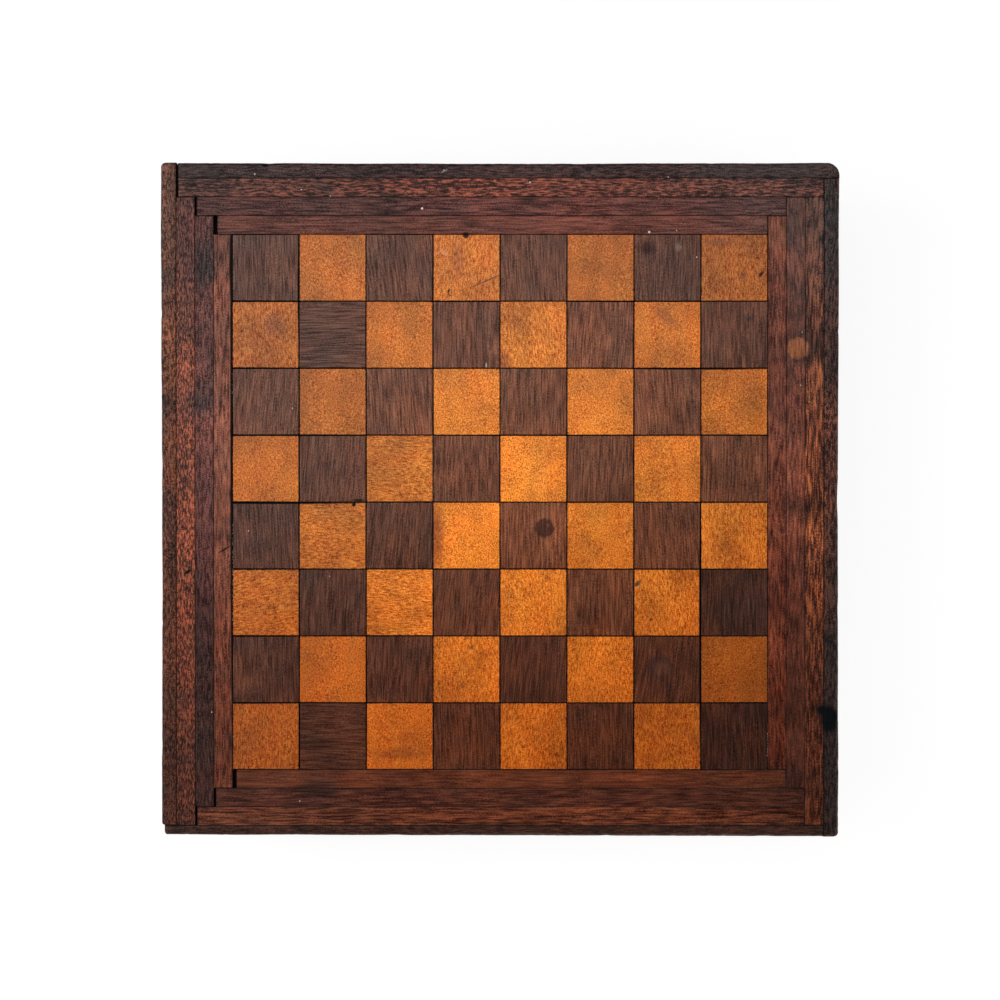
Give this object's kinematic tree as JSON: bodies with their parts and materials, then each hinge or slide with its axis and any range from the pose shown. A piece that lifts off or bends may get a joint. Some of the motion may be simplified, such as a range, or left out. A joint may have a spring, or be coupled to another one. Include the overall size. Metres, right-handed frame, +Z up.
{
  "type": "chess box with drawers",
  "caption": "Square parquet chess board with a strip border and butted lippings, on a shallow wooden case with a dovetailed, knobbed drawer at the front and another at the back.",
  "frame": {"origin": "under the middle of the box, on the surface it stands on", "axes": "+Z up, -Y towards the front drawer, +X to the right of someone at the front drawer"},
  "size_m": [0.3856, 0.4, 0.08],
  "materials": {
    "light_squares": "old shellac on golden brown wood",
    "dark_squares": "old shellac on dark brown wood",
    "outer_strips": "old shellac on figured red-brown wood",
    "middle_strips": "old shellac on purple-brown wood",
    "inner_strips": "old shellac on red-brown wood",
    "lippings": "worn dark shellac",
    "ground_wood": "bare wood, darkened by glue and dirt in the joints",
    "case_wood": "old satin shellac",
    "drawer_fronts": "old satin shellac",
    "drawer_wood": "bare, aged",
    "inside_wood": "bare, aged",
    "knob_brass": "tarnished",
    "screw_steel": "dulled"
  },
  "bodies": {
    "case": {"ground_board": "ground_wood", "light_squares_rank_1": "light_squares", "light_squares_rank_2": "light_squares", "light_squares_rank_3": "light_squares", "light_squares_rank_4": "light_squares", "light_squares_rank_5": "light_squares", "light_squares_rank_6": "light_squares", "light_squares_rank_7": "light_squares", "light_squares_rank_8": "light_squares", "dark_squares_rank_1": "dark_squares", "dark_squares_rank_2": "dark_squares", "dark_squares_rank_3": "dark_squares", "dark_squares_rank_4": "dark_squares", "dark_squares_rank_5": "dark_squares", "dark_squares_rank_6": "dark_squares", "dark_squares_rank_7": "dark_squares", "dark_squares_rank_8": "dark_squares", "left_outer_strip": "outer_strips", "left_middle_strip": "middle_strips", "left_inner_strip": "inner_strips", "back_outer_strip": "outer_strips", "back_middle_strip": "middle_strips", "back_inner_strip": "inner_strips", "right_outer_strip": "outer_strips", "right_middle_strip": "middle_strips", "right_inner_strip": "inner_strips", "front_outer_strip": "outer_strips", "front_middle_strip": "middle_strips", "front_inner_strip": "inner_strips", "left_lipping": "lippings", "back_lipping": "lippings", "right_lipping": "lippings", "front_lipping": "lippings", "left_side_panel": "case_wood", "right_side_panel": "case_wood", "front_top_rail": "case_wood", "back_top_rail": "case_wood", "front_bottom_rail": "case_wood", "back_bottom_rail": "case_wood", "centre_partition": "inside_wood", "bottom_panel": "inside_wood", "front_runners": "inside_wood", "back_runners": "inside_wood", "front_kickers": "inside_wood", "back_kickers": "inside_wood", "case_screws": "screw_steel"},
    "front_drawer": {"front_drawer_front": "drawer_fronts", "front_drawer_left_side": "drawer_wood", "front_drawer_right_side": "drawer_wood", "front_drawer_back": "drawer_wood", "front_drawer_bottom": "drawer_wood", "front_drawer_knob": "knob_brass", "front_drawer_knob_screw": "screw_steel"},
    "back_drawer": {"back_drawer_front": "drawer_fronts", "back_drawer_left_side": "drawer_wood", "back_drawer_right_side": "drawer_wood", "back_drawer_back": "drawer_wood", "back_drawer_bottom": "drawer_wood", "back_drawer_knob": "knob_brass", "back_drawer_knob_screw": "screw_steel"}
  },
  "joints": [
    {"name": "front_drawer_slide", "type": "slide", "parent": "case", "child": "front_drawer", "axis": [0, -1, 0], "range_m": [0, 0.15]},
    {"name": "back_drawer_slide", "type": "slide", "parent": "case", "child": "back_drawer", "axis": [0, 1, 0], "range_m": [0, 0.15]}
  ]
}
